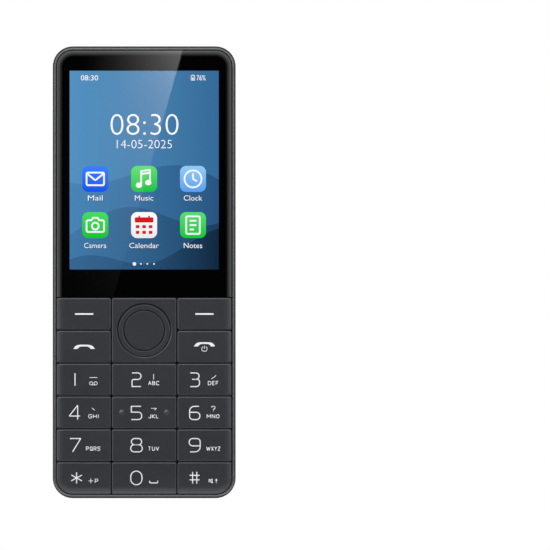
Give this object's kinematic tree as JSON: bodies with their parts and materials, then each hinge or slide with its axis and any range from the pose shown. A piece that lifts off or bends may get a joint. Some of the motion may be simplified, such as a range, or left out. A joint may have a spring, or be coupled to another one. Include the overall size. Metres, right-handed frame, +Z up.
{
  "type": "mobile phone",
  "caption": "Bar-shaped keypad phone with a flat cover glass over an upright display, a round navigation key, a number keypad and a card tray in its side.",
  "frame": {"origin": "middle of the bottom edge, at the lowest face", "axes": "+Z up along the phone to its top, the front with screen and keys faces -Y, +X to the right seen from the front"},
  "size_m": [0.0524, 0.0098, 0.1294],
  "materials": {
    "casing": "matte",
    "key_plastic": "matte",
    "lens_glass": "gloss",
    "screen": "gloss",
    "black_plastic": "matte",
    "light_guide": "satin",
    "circuit_board": "satin",
    "chip_plastic": "matte",
    "steel": "satin",
    "flex_film": "satin",
    "silicone": "matte",
    "battery_wrap": "satin",
    "tape": "matte",
    "heavy_alloy": "satin",
    "copper": "satin"
  },
  "bodies": {
    "handset": {"rear_shell": "casing", "front_frame": "black_plastic", "cover_glass": "lens_glass", "screen_adhesive": "black_plastic", "lcd_panel": "screen", "backlight": "light_guide", "display_flex": "flex_film", "nav_surround": "key_plastic", "keypad_mat": "silicone", "snap_domes": "steel", "keypad_board": "circuit_board", "keypad_screws": "steel", "keypad_flex": "flex_film", "main_board": "circuit_board", "board_screws": "steel", "shield_cans": "steel", "board_chips": "chip_plastic", "sim_socket": "black_plastic", "sim_cover": "steel", "battery": "battery_wrap", "battery_tape": "tape", "battery_lead": "flex_film", "usb_shell": "steel", "usb_tongue": "black_plastic", "loudspeaker": "black_plastic", "speaker_mesh": "steel", "earpiece": "black_plastic", "earpiece_mesh": "steel", "microphone": "steel", "microphone_boot": "silicone", "vibration_base": "steel", "vibration_cap": "steel", "antenna_strip": "copper"},
    "left_soft_key": {"left_soft_key": "key_plastic"},
    "right_soft_key": {"right_soft_key": "key_plastic"},
    "call_key": {"call_key": "key_plastic"},
    "end_key": {"end_key": "key_plastic"},
    "key_1": {"key_1": "key_plastic"},
    "key_2": {"key_2": "key_plastic"},
    "key_3": {"key_3": "key_plastic"},
    "key_4": {"key_4": "key_plastic"},
    "key_5": {"key_5": "key_plastic"},
    "key_6": {"key_6": "key_plastic"},
    "key_7": {"key_7": "key_plastic"},
    "key_8": {"key_8": "key_plastic"},
    "key_9": {"key_9": "key_plastic"},
    "key_star": {"key_star": "key_plastic"},
    "key_0": {"key_0": "key_plastic"},
    "key_hash": {"key_hash": "key_plastic"},
    "ok_key": {"ok_key": "key_plastic"},
    "nav_rocker": {"nav_rocker": "black_plastic"},
    "nav_ring": {"nav_ring": "key_plastic"},
    "eject_rod": {"eject_rod": "steel"},
    "eject_lever": {"eject_lever": "steel"},
    "eject_bar": {"eject_bar": "steel"},
    "sim_tray": {"sim_tray": "casing"},
    "vibration_weight": {"vibration_weight": "heavy_alloy"}
  },
  "joints": [
    {"name": "left_soft_key_press", "type": "slide", "parent": "handset", "child": "left_soft_key", "axis": [0, 1, 0], "range_m": [0, 0.00025], "stiffness_N_per_m": 3000},
    {"name": "right_soft_key_press", "type": "slide", "parent": "handset", "child": "right_soft_key", "axis": [0, 1, 0], "range_m": [0, 0.00025], "stiffness_N_per_m": 3000},
    {"name": "call_key_press", "type": "slide", "parent": "handset", "child": "call_key", "axis": [0, 1, 0], "range_m": [0, 0.00025], "stiffness_N_per_m": 3000},
    {"name": "end_key_press", "type": "slide", "parent": "handset", "child": "end_key", "axis": [0, 1, 0], "range_m": [0, 0.00025], "stiffness_N_per_m": 3000},
    {"name": "key_1_press", "type": "slide", "parent": "handset", "child": "key_1", "axis": [0, 1, 0], "range_m": [0, 0.00025], "stiffness_N_per_m": 3000},
    {"name": "key_2_press", "type": "slide", "parent": "handset", "child": "key_2", "axis": [0, 1, 0], "range_m": [0, 0.00025], "stiffness_N_per_m": 3000},
    {"name": "key_3_press", "type": "slide", "parent": "handset", "child": "key_3", "axis": [0, 1, 0], "range_m": [0, 0.00025], "stiffness_N_per_m": 3000},
    {"name": "key_4_press", "type": "slide", "parent": "handset", "child": "key_4", "axis": [0, 1, 0], "range_m": [0, 0.00025], "stiffness_N_per_m": 3000},
    {"name": "key_5_press", "type": "slide", "parent": "handset", "child": "key_5", "axis": [0, 1, 0], "range_m": [0, 0.00025], "stiffness_N_per_m": 3000},
    {"name": "key_6_press", "type": "slide", "parent": "handset", "child": "key_6", "axis": [0, 1, 0], "range_m": [0, 0.00025], "stiffness_N_per_m": 3000},
    {"name": "key_7_press", "type": "slide", "parent": "handset", "child": "key_7", "axis": [0, 1, 0], "range_m": [0, 0.00025], "stiffness_N_per_m": 3000},
    {"name": "key_8_press", "type": "slide", "parent": "handset", "child": "key_8", "axis": [0, 1, 0], "range_m": [0, 0.00025], "stiffness_N_per_m": 3000},
    {"name": "key_9_press", "type": "slide", "parent": "handset", "child": "key_9", "axis": [0, 1, 0], "range_m": [0, 0.00025], "stiffness_N_per_m": 3000},
    {"name": "key_star_press", "type": "slide", "parent": "handset", "child": "key_star", "axis": [0, 1, 0], "range_m": [0, 0.00025], "stiffness_N_per_m": 3000},
    {"name": "key_0_press", "type": "slide", "parent": "handset", "child": "key_0", "axis": [0, 1, 0], "range_m": [0, 0.00025], "stiffness_N_per_m": 3000},
    {"name": "key_hash_press", "type": "slide", "parent": "handset", "child": "key_hash", "axis": [0, 1, 0], "range_m": [0, 0.00025], "stiffness_N_per_m": 3000},
    {"name": "ok_key_press", "type": "slide", "parent": "handset", "child": "ok_key", "axis": [0, 1, 0], "range_m": [0, 0.00025], "stiffness_N_per_m": 3000},
    {"name": "nav_tilt_up_down", "type": "hinge", "parent": "handset", "child": "nav_rocker", "pos_m": [0, -0.00315, 0.04805], "axis": [1, 0, 0], "range_deg": [-1.6, 1.6], "stiffness_Nm_per_rad": 0.15},
    {"name": "nav_tilt_left_right", "type": "hinge", "parent": "nav_rocker", "child": "nav_ring", "pos_m": [0, -0.00345, 0.04805], "axis": [0, 0, 1], "range_deg": [-1.6, 1.6], "stiffness_Nm_per_rad": 0.15},
    {"name": "eject_rod_push", "type": "slide", "parent": "handset", "child": "eject_rod", "axis": [1, 0, 0], "range_m": [0, 0.0012]},
    {"name": "eject_lever_turn", "type": "hinge", "parent": "handset", "child": "eject_lever", "pos_m": [-0.0026, 0.00073, 0.10945], "axis": [0, 1, 0], "range_deg": [0, 17.2]},
    {"name": "eject_bar_push", "type": "slide", "parent": "handset", "child": "eject_bar", "axis": [-1, 0, 0], "range_m": [0, 0.0016]},
    {"name": "sim_tray_slide", "type": "slide", "parent": "eject_bar", "child": "sim_tray", "axis": [-1, 0, 0], "range_m": [0, 0.024]},
    {"name": "vibration_spin", "type": "hinge", "parent": "handset", "child": "vibration_weight", "pos_m": [-0.01655, 0.0004, 0.0135], "axis": [0, 1, 0], "continuous": true}
  ],
  "couplings": [
    {"joint": "eject_lever_turn", "follows": "eject_rod_push", "rad_per_m": 250},
    {"joint": "eject_bar_push", "follows": "eject_rod_push", "ratio": 1.3333}
  ]
}
